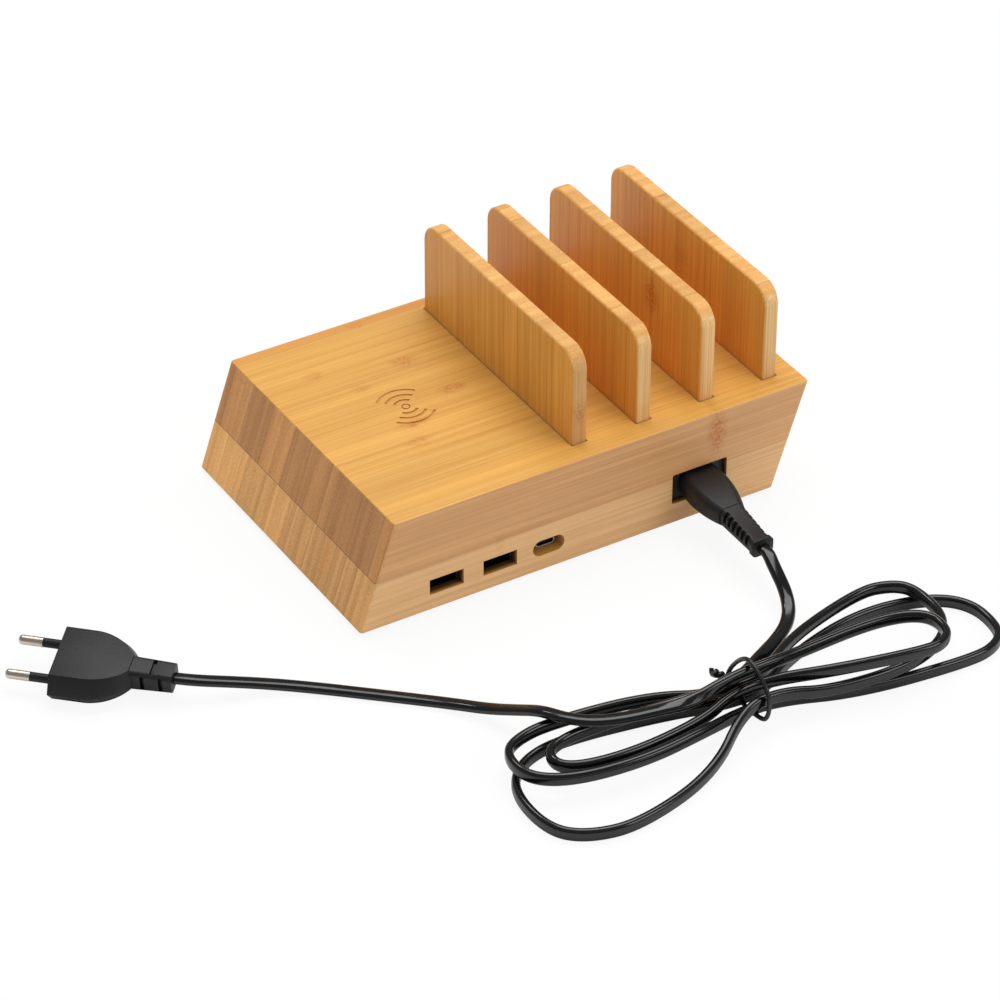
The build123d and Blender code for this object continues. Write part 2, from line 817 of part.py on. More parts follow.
with BuildPart() as connector_body:
    loft(
        [
            lead_section(grip_start_y, connector_head, connector_corner),
            lead_section(grip_middle_y, connector_waist, connector_corner),
            lead_section(grip_end_y, connector_tail, connector_corner),
        ]
    )
    loft(
        [
            lead_section(grip_end_y, relief_start, relief_corner),
            lead_section(relief_end_y, relief_end, relief_corner),
        ]
    )
    collar_width = relief_end[0] + 2 * relief_collar_stand
    collar_height = relief_end[1] + 2 * relief_collar_stand
    extrude(
        lead_section(relief_end_y, (collar_width, collar_height), relief_corner),
        amount=relief_collar,
    )
    with BuildSketch(Plane.XZ.offset(-grip_start_y)):
        with Locations((inlet_x, inlet_z)):
            SlotOverall(nose_width, nose_height)
    extrude(amount=-nose_length)
    notch_pitch = relief_length / (relief_notches + 1)
    for notch in range(relief_notches):
        notch_y = grip_end_y - (notch + 1) * notch_pitch
        notch_x, notch_z = lead_centre(notch_y)
        with BuildSketch(Plane.XY.offset(notch_z + relief_notch_rise)):
            with Locations((notch_x, notch_y)):
                with GridLocations(relief_start[0], 0, 2, 1):
                    Rectangle(2 * relief_notch_depth, relief_notch_width)
        extrude(amount=relief_notch_height / 2, both=True, mode=Mode.SUBTRACT)
    with BuildSketch(Plane.XZ.offset(-(grip_start_y + nose_length))):
        with Locations((inlet_x, inlet_z)):
            with GridLocations(inlet_pin_spacing, 0, 2, 1):
                Circle(contact_radius)
    extrude(amount=contact_length, mode=Mode.SUBTRACT)
save(connector_body, "connector_body")

with BuildPart() as connector_contacts:
    with BuildSketch(Plane.XZ.offset(-(grip_start_y + nose_length))):
        with Locations((inlet_x, inlet_z)):
            with GridLocations(inlet_pin_spacing, 0, 2, 1):
                Circle(contact_radius)
                Circle(contact_bore, mode=Mode.SUBTRACT)
    extrude(amount=contact_length)
save(connector_contacts, "connector_contacts")

# Mains plug, lying level and rolled on one edge
heading = math.radians(plug_heading_degrees)
roll = math.radians(plug_roll_degrees)
pin_direction = Vector(math.cos(heading), math.sin(heading), 0)
level_direction = Vector(math.sin(heading), -math.cos(heading), 0)
rise_direction = level_direction.cross(pin_direction)
width_direction = level_direction * math.cos(roll) + rise_direction * math.sin(roll)
plug_face_z = plug_flat / 2 * math.sin(roll) + plug_height / 2 * math.cos(roll)
plug_plane = Plane(
    origin=(plug_face_x, plug_face_y, plug_face_z),
    x_dir=width_direction * -1,
    z_dir=pin_direction,
)
plan_plane = Plane(
    origin=plug_plane.origin, x_dir=pin_direction * -1, z_dir=plug_plane.y_dir
)
side_plane = Plane(
    origin=plug_plane.origin, x_dir=pin_direction * -1, z_dir=plug_plane.x_dir
)


def tapered_outline(plane, start_half, end_half, length):
    """Parallel at the face, then drawn in by an arc on each side towards the neck."""
    with BuildSketch(plane) as outline:
        with BuildLine():
            Line((0, -start_half), (0, start_half))
            Line((0, start_half), (plug_straight, start_half))
            upper = TangentArc((plug_straight, start_half), (length, end_half), tangent=(1, 0))
            Line(upper @ 1, (length, -end_half))
            TangentArc((plug_straight, -start_half), (length, -end_half), tangent=(1, 0))
            Line((plug_straight, -start_half), (0, -start_half))
        make_face()
    return outline.sketch


plug_ridge = tapered_outline(
    plan_plane, plug_width / 2, plug_tail_width / 2, plug_body_length
)
plug_flats = [
    tapered_outline(plan_plane.offset(rise), plug_flat / 2, plug_tail_flat / 2, plug_flat_length)
    for rise in (-plug_height / 2, plug_height / 2)
]
plug_side = tapered_outline(
    side_plane, plug_height / 2, plug_tail_height / 2, plug_body_length
)
neck_end_distance = plug_body_length + plug_neck_length
with BuildPart() as plug_body:
    for plug_flat_outline in plug_flats:
        loft([plug_ridge, plug_flat_outline], ruled=True)
    extrude(plug_side, amount=plug_width, both=True, mode=Mode.INTERSECT)
    with BuildSketch(plug_plane.offset(plug_neck_overlap - plug_body_length)) as neck_start:
        RectangleRounded(plug_neck_start[0], plug_neck_start[1], plug_neck_corner)
    with BuildSketch(plug_plane.offset(-neck_end_distance)) as neck_end:
        RectangleRounded(plug_neck_end[0], plug_neck_end[1], plug_neck_corner)
    loft()
    for side_notch in plug_side_notch_distances:
        notch_back = plug_body_length + side_notch + plug_notch_width / 2
        with BuildSketch(plug_plane.offset(-notch_back)):
            with GridLocations(plug_neck_start[0], 0, 2, 1):
                Rectangle(2 * plug_notch_depth, plug_notch_span)
        extrude(amount=plug_notch_width, mode=Mode.SUBTRACT)
    flat_notch_back = plug_body_length + plug_flat_notch_distance + plug_notch_width / 2
    with BuildSketch(plug_plane.offset(-flat_notch_back)):
        with GridLocations(0, plug_neck_start[1], 1, 2):
            Rectangle(plug_flat_notch_span, 2 * plug_flat_notch_depth)
    extrude(amount=plug_notch_width, mode=Mode.SUBTRACT)
    with BuildSketch(plug_plane):
        with GridLocations(pin_spacing, 0, 2, 1):
            Circle(sleeve_radius)
    extrude(amount=-pin_root, mode=Mode.SUBTRACT)
save(plug_body, "plug_body")

sleeve_length = pin_length - pin_tip_length
with BuildPart() as plug_pins:
    with BuildSketch(plug_plane.offset(sleeve_length)):
        with GridLocations(pin_spacing, 0, 2, 1):
            Circle(pin_radius)
    extrude(amount=pin_tip_length)
    tip_edges = plug_pins.edges().sort_by(Axis(plug_plane.origin, pin_direction))[-2:]
    fillet(tip_edges, pin_tip_ease)
    with BuildSketch(plug_plane.offset(-pin_root)):
        with GridLocations(pin_spacing, 0, 2, 1):
            Circle(pin_core_radius)
    extrude(amount=pin_root + sleeve_length)
save(plug_pins, "plug_pins")

with BuildPart() as plug_pin_sleeves:
    with BuildSketch(plug_plane.offset(-pin_root)):
        with GridLocations(pin_spacing, 0, 2, 1):
            Circle(sleeve_radius)
            Circle(pin_core_radius, mode=Mode.SUBTRACT)
    extrude(amount=pin_root + sleeve_length)
save(plug_pin_sleeves, "plug_pin_sleeves")

# Hank of flat cord, standing on edge, tied at its waist


def pass_place(number):
    """Where one pass of the hank goes through the tie: its Y and Z."""
    y = hank_middle_y + hank_slot * pass_slot_shares[number]
    z = cord_width / 2 + hank_lift + hank_level * pass_levels[number]
    return y, z


def lobe_side(number, pass_number, belly_share, belly_y_share):
    """One half of a lobe, from the waist's shoulder out to the tip."""
    reach = hank_reach * lobe_reach_shares[number]
    side = 1 if number % 2 else -1
    waist_y = pass_place(pass_number)[0]
    belly_y = hank_middle_y + hank_reach * belly_y_share
    tip_y = hank_middle_y + hank_reach * lobe_tip_shares[number]
    corner_share = belly_share + corner_x_share * (1 - belly_share)
    z = cord_width / 2 + hank_level * lobe_levels[number]
    return [
        (side * shoulder_x_share * belly_share * reach,
         waist_y + shoulder_y_share * (belly_y - waist_y), z),
        (side * belly_share * reach, belly_y, z),
        (side * corner_share * reach, tip_y + corner_y_share * (belly_y - tip_y), z),
        (side * reach, tip_y + tip_y_share * (belly_y - tip_y), z),
    ]


hank_points = []
for lobe in range(len(lobe_levels)):
    lobe_sign = 1 if lobe % 2 else -1
    far = (lobe_far_belly_shares[lobe], lobe_far_shares[lobe])
    near = (lobe_near_belly_shares[lobe], lobe_near_shares[lobe])
    inward, outward = (near, far) if lobe % 2 else (far, near)
    hank_points.append((lobe_sign * hank_neck, *pass_place(lobe)))
    hank_points += lobe_side(lobe, lobe, *inward)
    hank_points += reversed(lobe_side(lobe, lobe + 1, *outward))
    hank_points.append((lobe_sign * hank_neck, *pass_place(lobe + 1)))
hank_points[0] = (-hank_neck, *pass_place(0))
hank_points.insert(0, hank_start)
hank_points.append((-hank_neck, *pass_place(len(lobe_levels))))
hank_points.append(hank_end)


def rounded_route(points):
    """Straight runs joined by arcs as large as the runs beside them allow."""
    route = [Vector(*point) for point in points]
    radii = []
    for before, corner, after in zip(route, route[1:], route[2:]):
        turn = math.radians((corner - before).get_angle(after - corner))
        shorter_run = min((corner - before).length, (after - corner).length)
        radii.append(arc_run_share * shorter_run / math.tan(turn / 2))
    print("bend radii", [round(radius, 1) for radius in radii])
    with BuildLine() as line:
        FilletPolyline(*route, radius=radii)
    return line.wire()


def swept_cord(path, wide, high):
    """Sweep the flat cord's rounded section along a route, kept upright."""
    start = path % 0
    across = Vector(start.Y, -start.X, 0)
    with BuildSketch(Plane(origin=path @ 0, x_dir=across, z_dir=start)) as section:
        RectangleRounded(wide, high, cord_thickness * cord_corner_share)
    return sweep(section.sketch, path=path, mode=Mode.PRIVATE)


def report_cord(label, path, solid):
    """Print the length, and the volume beside section times length."""
    section_area = cord_width * cord_thickness
    section_area -= (4 - math.pi) * (cord_thickness * cord_corner_share) ** 2
    print(label, round(path.length, 1), round(solid.volume), round(section_area * path.length))


def least_self_gap(path):
    """The least gap between stretches of the upright cord that lie apart along it."""
    count = round(path.length / gap_sample_step)
    places = [path @ (index / count) for index in range(count + 1)]
    apart = round(gap_skip_length / gap_sample_step)
    spine = cord_width - cord_thickness
    least = path.length
    for index, place in enumerate(places):
        for other in places[index + apart:]:
            level_gap = math.hypot(place.X - other.X, place.Y - other.Y)
            rise_gap = max(abs(place.Z - other.Z) - spine, 0)
            least = min(least, math.hypot(level_gap, rise_gap) - cord_thickness)
    return least


hank_path = rounded_route(hank_points)
with BuildPart() as cord_hank:
    add(swept_cord(hank_path, cord_thickness, cord_width))
save(cord_hank, "cord_hank")
report_cord("hank", hank_path, cord_hank.part)
print("hank least self gap", round(least_self_gap(hank_path), 2))

# Free stretches: from the connector to the hank, and from the hank to the plug
exit_x, exit_z = lead_centre(connector_back_y)
connector_path = rounded_route(
    [
        (exit_x, connector_back_y, exit_z),
        (exit_x, connector_back_y - connector_straight, exit_z),
        *connector_route,
        hank_start,
    ]
)
with BuildPart() as cord_from_connector:
    add(swept_cord(connector_path, cord_width, cord_thickness))
save(cord_from_connector, "cord_from_connector")
report_cord("cord from connector", connector_path, cord_from_connector.part)

neck_end_point = plug_plane.origin - pin_direction * neck_end_distance
straight_point = neck_end_point - pin_direction * straight_exit
plug_path = rounded_route([hank_end, *plug_route, tuple(straight_point), tuple(neck_end_point)])
with BuildPart() as cord_to_plug:
    add(swept_cord(plug_path, cord_width, cord_thickness))
save(cord_to_plug, "cord_to_plug")
report_cord("cord to plug", plug_path, cord_to_plug.part)
cord_length = hank_path.length + connector_path.length + plug_path.length
print("whole cord", round(cord_length, 1))

# Wire tie round the hank's waist, with its twisted tail
half_wide = cord_thickness / 2 + tie_radius + tie_clearance
half_high = cord_width / 2 + tie_radius + tie_clearance
first_far_y, first_z = pass_place(0)
first_far_y += hank_slot * tie_far_share
near_y, near_z = pass_place(3)
low_near_y = pass_place(1)[0]
top_y, top_z = pass_place(len(lobe_levels))
tie_points = [
    (0, first_far_y + half_wide, tie_radius),
    (0, low_near_y - half_wide, tie_radius),
    (0, near_y - half_wide, near_z - half_high),
    (0, near_y - half_wide, near_z + half_high),
    (0, top_y - half_wide, top_z + half_high),
    (0, top_y + half_wide, top_z + half_high),
    (0, first_far_y + half_wide, first_z + half_high),
]
with BuildPart() as twist_tie:
    with BuildLine():
        tie_loop = FilletPolyline(*tie_points, radius=tie_corner, close=True)
    with BuildSketch(Plane(origin=tie_loop @ 0, z_dir=tie_loop % 0)):
        Circle(tie_radius)
    sweep(path=tie_loop)
    tail_plane = Plane(
        origin=(0, first_far_y + half_wide, first_z),
        z_dir=(-tie_tail_length, tie_tail_length / 2, tie_tail_rise),
    )
    with BuildSketch(tail_plane):
        Ellipse(tie_tail_width / 2, tie_radius)
    extrude(amount=tie_tail_length)
save(twist_tie, "twist_tie")
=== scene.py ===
import json
import math

import bpy
from mathutils import Matrix, Vector

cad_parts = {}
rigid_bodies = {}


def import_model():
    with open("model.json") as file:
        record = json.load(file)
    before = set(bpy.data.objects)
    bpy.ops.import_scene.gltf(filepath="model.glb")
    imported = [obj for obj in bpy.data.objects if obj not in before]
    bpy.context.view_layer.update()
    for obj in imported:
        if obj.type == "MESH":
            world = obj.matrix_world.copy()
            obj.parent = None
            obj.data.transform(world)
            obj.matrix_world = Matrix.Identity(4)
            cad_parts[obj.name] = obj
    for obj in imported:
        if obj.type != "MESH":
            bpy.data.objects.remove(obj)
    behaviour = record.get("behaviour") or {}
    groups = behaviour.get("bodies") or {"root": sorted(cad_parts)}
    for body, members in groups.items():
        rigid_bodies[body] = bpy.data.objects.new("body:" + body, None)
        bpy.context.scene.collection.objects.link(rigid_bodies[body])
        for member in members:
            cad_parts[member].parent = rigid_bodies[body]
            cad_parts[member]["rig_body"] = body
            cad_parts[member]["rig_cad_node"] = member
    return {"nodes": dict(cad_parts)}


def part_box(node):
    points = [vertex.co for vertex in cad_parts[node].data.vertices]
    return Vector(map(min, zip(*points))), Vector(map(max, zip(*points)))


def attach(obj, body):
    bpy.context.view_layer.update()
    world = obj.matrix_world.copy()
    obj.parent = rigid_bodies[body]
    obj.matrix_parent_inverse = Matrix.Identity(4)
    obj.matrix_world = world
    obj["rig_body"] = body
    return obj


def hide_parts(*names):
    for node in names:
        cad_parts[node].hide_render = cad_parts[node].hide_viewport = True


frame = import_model()
bpy.ops.object.select_all(action="DESELECT")
nodes = frame["nodes"]
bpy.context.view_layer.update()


# Bamboo box
# Two boards glued up from bamboo strips that run along the box, one board on the
# other. Both are sawn with leaning ends, eased along the edges and clear lacquered.
box_low, box_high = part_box("lower_block")
board_joint = box_high.z
box_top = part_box("upper_block")[1].z
box_left = box_low.x
box_front = box_low.y
box_back = box_high.y
pad_centre = (box_left + 0.061, box_front + 0.068)
box_strip = 0.0058
faces_it = (0.6, 0.85)


class Shade:
    """One socket of a material, which Python's operators do sums on."""

    def __init__(self, tree, socket):
        self.tree = tree
        self.socket = socket

    def node(self, kind, settings, values, output=0):
        """Add a node: its settings first, then its sockets' values or links."""
        made = self.tree.nodes.new(kind)
        for name, setting in settings.items():
            setattr(made, name, setting)
        for name, value in values.items():
            if isinstance(value, Shade):
                self.tree.links.new(value.socket, made.inputs[name])
            else:
                made.inputs[name].default_value = value
        return Shade(self.tree, made.outputs[output])

    def sum(self, operation, *values):
        return self.node("ShaderNodeMath", {"operation": operation}, dict(enumerate(values)))

    def vector(self, operation, *values, output=0):
        """A sum on this place and others; its output 1 is a plain number."""
        settings = {"operation": operation}
        values = dict(enumerate((self, *values)))
        return self.node("ShaderNodeVectorMath", settings, values, output)

    def __add__(self, other):
        return self.sum("ADD", self, other)

    __radd__ = __add__

    def __sub__(self, other):
        return self.sum("SUBTRACT", self, other)

    def __rsub__(self, other):
        return self.sum("SUBTRACT", other, self)

    def __mul__(self, other):
        return self.sum("MULTIPLY", self, other)

    __rmul__ = __mul__

    def __truediv__(self, other):
        return self.sum("DIVIDE", self, other)

    def __gt__(self, other):
        return self.sum("GREATER_THAN", self, other)

    def __lt__(self, other):
        return self.sum("LESS_THAN", self, other)

    def __abs__(self):
        return self.sum("ABSOLUTE", self)

    def whole(self):
        return self.sum("FLOOR", self)

    def wave(self):
        return self.sum("SINE", self)

    def rise(self, low, high):
        """0 below low, 1 above high, smooth between them; low may be the larger."""
        settings = {"interpolation_type": "SMOOTHSTEP"}
        values = {"Value": self, "From Min": low, "From Max": high}
        return self.node("ShaderNodeMapRange", settings, values)

    def edges(self, share):
        """1 within this share of the edges of each span from 0 to 1."""
        return 1 - self.rise(0.0, share) * self.rise(1.0, 1 - share)

    def facing(self):
        """The way the surface faces, from the node that gives this place."""
        return Shade(self.tree, self.socket.node.outputs["Normal"])

    def axes(self):
        return [self.node("ShaderNodeSeparateXYZ", {}, {0: self}, axis) for axis in range(3)]

    def noise(self, scales, detail=2.0, roughness=0.5):
        """Noise with so many features per metre along each axis."""
        stretched = self.vector("MULTIPLY", scales)
        values = {"Vector": stretched, "Scale": 1.0, "Detail": detail, "Roughness": roughness}
        return stretched.node("ShaderNodeTexNoise", {}, values)

    def dice(self):
        """A random number from 0 to 1 for each value."""
        return self.node("ShaderNodeTexWhiteNoise", {"noise_dimensions": "1D"}, {"W": self})

    def blend(self, first, second):
        """From the first colour to the second as this mask goes from 0 to 1."""
        return self.node("ShaderNodeMix", {"data_type": "RGBA"}, {0: self, 6: first, 7: second}, 2)

    def tinted(self, colour, tint):
        """A colour multiplied by a tint as this mask goes from 0 to 1."""
        settings = {"data_type": "RGBA", "blend_type": "MULTIPLY"}
        return self.node("ShaderNodeMix", settings, {0: self, 6: colour, 7: tint}, 2)

    def shaded(self, colour):
        """A colour multiplied by this number."""
        grey = self.node("ShaderNodeCombineColor", {}, {0: self, 1: self, 2: self})
        settings = {"data_type": "RGBA", "blend_type": "MULTIPLY"}
        return self.node("ShaderNodeMix", settings, {0: 1.0, 6: colour, 7: grey}, 2)

    def dents(self, strength, distance):
        """A normal from this height; distance in metres."""
        values = {"Height": self, "Strength": strength, "Distance": distance}
        return self.node("ShaderNodeBump", {}, values)


def paint(red, green, blue):
    """A colour written as on a screen, 0 to 255."""
    parts = [part / 255 for part in (red, green, blue)]
    linear = [
        part / 12.92 if part < 0.04045 else ((part + 0.055) / 1.055) ** 2.4 for part in parts
    ]
    return (*linear, 1)


def finish(name, **constants):
    """A new material with the numbers that hold all over it, and where each point is."""
    material = bpy.data.materials.new(name)
    material.use_nodes = True
    tree = material.node_tree
    surface = tree.nodes["Principled BSDF"]
    for socket, value in constants.items():
        surface.inputs[socket.replace("_", " ")].default_value = value
    place = tree.nodes.new("ShaderNodeTexCoord")
    return material, Shade(tree, place.outputs["Object"])


def feed(material, socket, shade):
    """Link a varying value to one socket of the material's shader."""
    surface = material.node_tree.nodes["Principled BSDF"]
    material.node_tree.links.new(shade.socket, surface.inputs[socket])


def dress(material, *pieces):
    """Give CAD nodes their finish."""
    for piece in pieces:
        for slot in nodes[piece].material_slots:
            slot.material = material


def bamboo(name, grain, strip, face_tones, board, swings, marks, gloss=0.5):
    """Strips side by side along Y, their fibres along the grain axis, with node marks.

    face_tones are the colours of the long faces, the front and the sawn ends, each as
    a dark and a pale fibre, and swings are how much the strips differ on each of them.
    board gives a number for each board, and marks lists node marks as (middle, reach
    along X, Y and Z, depth of tone).
    """
    material, place = finish(name, IOR=1.5, Specular_IOR_Level=gloss)
    axes = place.axes()
    side_x, side_y, side_z = [abs(axis) for axis in place.facing().axes()]
    end_mask = (side_x if grain == 0 else side_z).rise(0.5, 0.8)
    front_mask = side_y.rise(*faces_it)

    # Where each strip lies: the joints waver, and each board's strips start elsewhere.
    waver, waver_rate, board_phase, board_shift = 0.0016, 310, 2.3, 0.0071
    board_seed, sheet_seed, skin_seed = 31.7, 17.3, 0.37
    strips_in_sheet = 3
    number = board(axes)
    shifted = axes[1] + waver * (axes[1] * waver_rate + number * board_phase).wave()
    shifted = shifted + number * board_shift
    strips = shifted / strip
    strip_number = strips.whole() + number * board_seed
    within = strips - strips.whole()
    tone = strip_number.dice()
    skin_side = (strip_number + skin_seed).dice() > 0.5
    dense = within * skin_side + (1 - within) * (1 - skin_side)
    sheets = shifted / (strip * strips_in_sheet)
    sheet_tone = (sheets.whole() + number * sheet_seed).dice()
    within_sheet = sheets - sheets.whole()

    # Fibres, bands and clouds in features per metre, few of them along the grain, and
    # the specks and layers that a saw cut across the fibres shows.
    fibre_scale = [2100, 2100, 900]
    band_scale = [420, 420, 260]
    cloud_scale = [48, 60, 48]
    for scales, slow in ((fibre_scale, 13), (band_scale, 5), (cloud_scale, 6)):
        scales[grain] = slow
    farthest_jump = 0.4
    strip_jump = tone * farthest_jump
    jumped = place.node(
        "ShaderNodeCombineXYZ", {}, {0: axes[0] + strip_jump, 1: axes[1], 2: axes[2] + strip_jump}
    )
    fibre = jumped.noise(tuple(fibre_scale), 3.0, 0.6)
    band = jumped.noise(tuple(band_scale))
    cloud = place.noise(tuple(cloud_scale), 1.0)
    speck = place.noise((1500, 1500, 1500))
    layers = jumped.noise((15, 330, 15))

    # The colour of each face, from dark to pale fibre.
    fibre_contrast, band_contrast = 1.5, 0.8
    speck_contrast, dense_contrast, layer_contrast = 0.8, 0.22, 0.8
    along = (fibre - 0.5) * fibre_contrast + (band - 0.5) * band_contrast + 0.5
    across = (speck - 0.5) * speck_contrast + (dense - 0.5) * dense_contrast
    across = across + (layers - 0.5) * layer_contrast + 0.5
    colours = [
        streaks.rise(0.0, 1.0).blend(paint(*dark), paint(*pale))
        for streaks, (dark, pale) in zip((along, along, across), face_tones)
    ]
    colour = end_mask.blend(front_mask.blend(colours[0], colours[1]), colours[2])

    # How the strips differ, with fine dark lines at their joints.
    cloud_contrast, strip_line, sheet_line = 0.13, 0.05, 0.2
    swing = (swings[0] * (1 - front_mask) + swings[1] * front_mask) * (1 - end_mask)
    level = 1 + (tone - 0.5) * swing + (sheet_tone - 0.5) * end_mask * swings[2]
    level = level + (cloud - 0.5) * cloud_contrast
    level = level * (1 - within.edges(0.05) * strip_line * (1 - front_mask))
    level = level * (1 - within_sheet.edges(0.025) * end_mask * sheet_line)

    # Node marks: ragged spots that break up into crumbs.
    mark_ragged, mark_rim, mark_core = 1.1, 1.15, 0.2
    mark_base, mark_crumbs, mark_strength = 0.3, 0.7, 0.6
    mark_colour = paint(184, 106, 34)
    knots = None
    for middle, reach, depth in marks:
        away = place.vector("SUBTRACT", middle)
        away = away.vector("MULTIPLY", tuple(1 / part for part in reach))
        distance = away.vector("LENGTH", output=1)
        spot = (distance + (band - 0.5) * mark_ragged).rise(mark_rim, mark_core) * depth
        knots = spot if knots is None else knots + spot
    crumbs = place.noise((700, 700, 700), 3.0).rise(0.4, 0.62)
    knots = knots * (mark_base + crumbs * mark_crumbs)
    colour = (knots * mark_strength).blend(level.shaded(colour), mark_colour)

    # Clear lacquer, a little duller on the sawn ends, over slightly raised fibres.
    lacquer, lacquer_spread, sawn_dullness = 0.4, 0.12, 0.12
    feed(material, "Roughness", lacquer + fibre * lacquer_spread + end_mask * sawn_dullness)
    band_height, mark_sink, height_strength, fibre_height = 0.5, 0.5, 0.12, 0.0001
    heights = fibre + band * band_height - knots * mark_sink
    feed(material, "Normal", heights.dents(height_strength, fibre_height))
    return material, place, colour


def box_board(axes):
    """0 in the lower board and 1 in the upper one."""
    return axes[2] > board_joint


box_marks = [
    ((-0.0295, 0.0292, box_top), (0.0075, 0.0042, 0.0050), 1.2),
    ((-0.0222, 0.0028, box_top), (0.0070, 0.0040, 0.0050), 1.2),
    ((-0.0665, 0.0394, box_top), (0.0060, 0.0038, 0.0050), 0.8),
    ((-0.0544, 0.0212, box_top), (0.0055, 0.0036, 0.0050), 0.8),
    ((-0.0481, -0.0117, box_top), (0.0080, 0.0042, 0.0050), 1.2),
    ((-0.0528, -0.0228, box_top), (0.0070, 0.0038, 0.0050), 0.9),
    ((-0.0335, 0.0625, box_top), (0.0050, 0.0030, 0.0050), 0.9),
    ((0.0612, box_front, 0.0391), (0.0055, 0.0130, 0.0130), 1.6),
    ((-0.0415, box_front, 0.0215), (0.0030, 0.0060, 0.0060), 0.5),
    ((-0.1018, -0.0319, 0.0146), (0.0080, 0.0030, 0.0130), 1.4),
]
box_tones = [
    ((199, 139, 53), (223, 171, 84)),
    ((192, 139, 86), (216, 163, 108)),
    ((168, 107, 50), (208, 150, 84)),
]
box_swings = (0.1, 0.03, 0.26)
box_bamboo, place, colour = bamboo(
    "box_bamboo", 0, box_strip, box_tones, box_board, box_swings, box_marks
)
x, y, z = place.axes()
facing_x, _, facing_z = [abs(axis) for axis in place.facing().axes()]
upright = facing_z.rise(0.6, 0.3)
ends = facing_x.rise(*faces_it)

# The lower board is paler, partly its own tone and partly painted bounce light from the floor; the
# extra lift on its ends is painted bounce light.
lower_tone_and_bounce_tint = (1.2, 1.36, 1.52, 1)
painted_end_bounce_light = 0.16
lower_board = (z < board_joint) * upright
colour = lower_board.tinted(colour, lower_tone_and_bounce_tint)
colour = (1 + lower_board * ends * painted_end_bounce_light).shaded(colour)

# The top's last strip at the back is redder.
back_strip_width = 0.0055
back_strip_strength = 0.55
back_strip = (y > box_back - back_strip_width) * (1 - upright)
colour = (back_strip * back_strip_strength).blend(colour, paint(204, 132, 58))

# The milled openings are scorched by the cutter and carry painted shade deeper inside, the USB-C
# one least.
milled_from, milled_to = box_front + 0.0002, box_front + 0.012
milled_top = box_top - 0.01
milled_reach = 0.09
usb_c_left, usb_c_right = -0.03, 0.0
scorch_and_shade_strength, usb_c_relief = 0.9, 0.75
scorch_and_shade = (y > milled_from) * (y < milled_to) * (z < milled_top)
scorch_and_shade = scorch_and_shade * (abs(x) < milled_reach) * (y - box_front).rise(-0.0004, 0.0026)
scorch_and_shade = scorch_and_shade * (scorch_and_shade_strength - usb_c_relief * (x > usb_c_left) * (x < usb_c_right))
colour = scorch_and_shade.blend(colour, paint(70, 28, 12))

# The joint between the boards shows most on the ends.
seam_edge, seam_core = 0.00026, 0.0001
seam_strength, end_seam_strength = 0.12, 0.5
seam = abs(z - board_joint).rise(seam_edge, seam_core)
seam = seam * (seam_strength + ends * end_seam_strength)
colour = seam.blend(colour, paint(90, 55, 28))

# The charging mark is burnt in, darkest at its middle.
mark_radius = 0.0135
mark_floor = box_top - 0.00025
mark_strength, mark_fade = 0.75, 40
from_pad = place.vector("DISTANCE", (*pad_centre, box_top), output=1)
burnt = (from_pad < mark_radius) * (z < mark_floor)
colour = (burnt * (mark_strength - from_pad * mark_fade)).blend(colour, paint(160, 98, 46))

# A dark line of painted shade follows the foot of each divider, in the crease on the box's top.
divider_low, divider_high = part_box("divider_1")
divider_left = divider_low.x
divider_front = divider_low.y
divider_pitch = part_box("divider_2")[0].x - divider_left
half_divider = (divider_high.x - divider_low.x) / 2
foot_shade_edge, foot_shade_core, foot_shade_strength = 0.0007, 0.0002, 0.65
bay = (x - divider_left - half_divider) / divider_pitch + 0.5
from_divider = abs(bay - bay.whole() - 0.5) * divider_pitch
foot_shade = from_divider.rise(half_divider + foot_shade_edge, half_divider + foot_shade_core)
foot_shade = foot_shade * (x > divider_left - 0.001) * (y > divider_front - 0.0004) * (y < divider_high.y)
colour = (foot_shade * (1 - upright) * foot_shade_strength).blend(colour, paint(84, 46, 18))
feed(box_bamboo, "Base Color", colour)
dress(box_bamboo, "lower_block", "upper_block")


# Dividers
# Four upright bamboo boards that hold phones and tablets on edge. Their strips stand
# upright, their top corners are round, and each is glued into a groove in the box.
def divider_board(axes):
    """4 in the first divider and one more in each that follows."""
    return ((axes[0] - divider_left + 0.003) / divider_pitch).whole() + 4


second_edge, third_edge = [divider_left + count * divider_pitch for count in (2, 3)]
divider_marks = [
    ((divider_left + 0.0035, divider_front, 0.0640), (0.0045, 0.0045, 0.0080), 1.3),
    ((second_edge, divider_front + 0.037, 0.0800), (0.0060, 0.0068, 0.0110), 1.7),
    ((third_edge, divider_front + 0.062, 0.0760), (0.0070, 0.0070, 0.0060), 0.6),
]
divider_tones = [
    ((194, 130, 50), (228, 168, 80)),
    ((204, 152, 92), (238, 200, 140)),
    ((192, 134, 70), (226, 176, 106)),
]
divider_strip = 0.0125
divider_swings = (0.16, 0.14, 0.2)
divider_gloss = 0.3
divider_bamboo, place, colour = bamboo(
    "divider_bamboo", 2, divider_strip, divider_tones, divider_board, divider_swings,
    divider_marks, divider_gloss,
)
x = place.axes()[0]
facing_x, facing_y, _ = [abs(axis) for axis in place.facing().axes()]
first_edge_strength, inner_face_lift = 0.55, 0.06
first_edge = (x < divider_left + 2 * half_divider) * facing_y.rise(*faces_it)
colour = (first_edge * first_edge_strength).blend(colour, paint(176, 116, 62))
inner_face = (x > divider_left + divider_pitch / 2) * facing_x.rise(*faces_it)
colour = (1 + inner_face * inner_face_lift).shaded(colour)
feed(divider_bamboo, "Base Color", colour)
dress(divider_bamboo, "divider_1", "divider_2", "divider_3", "divider_4")


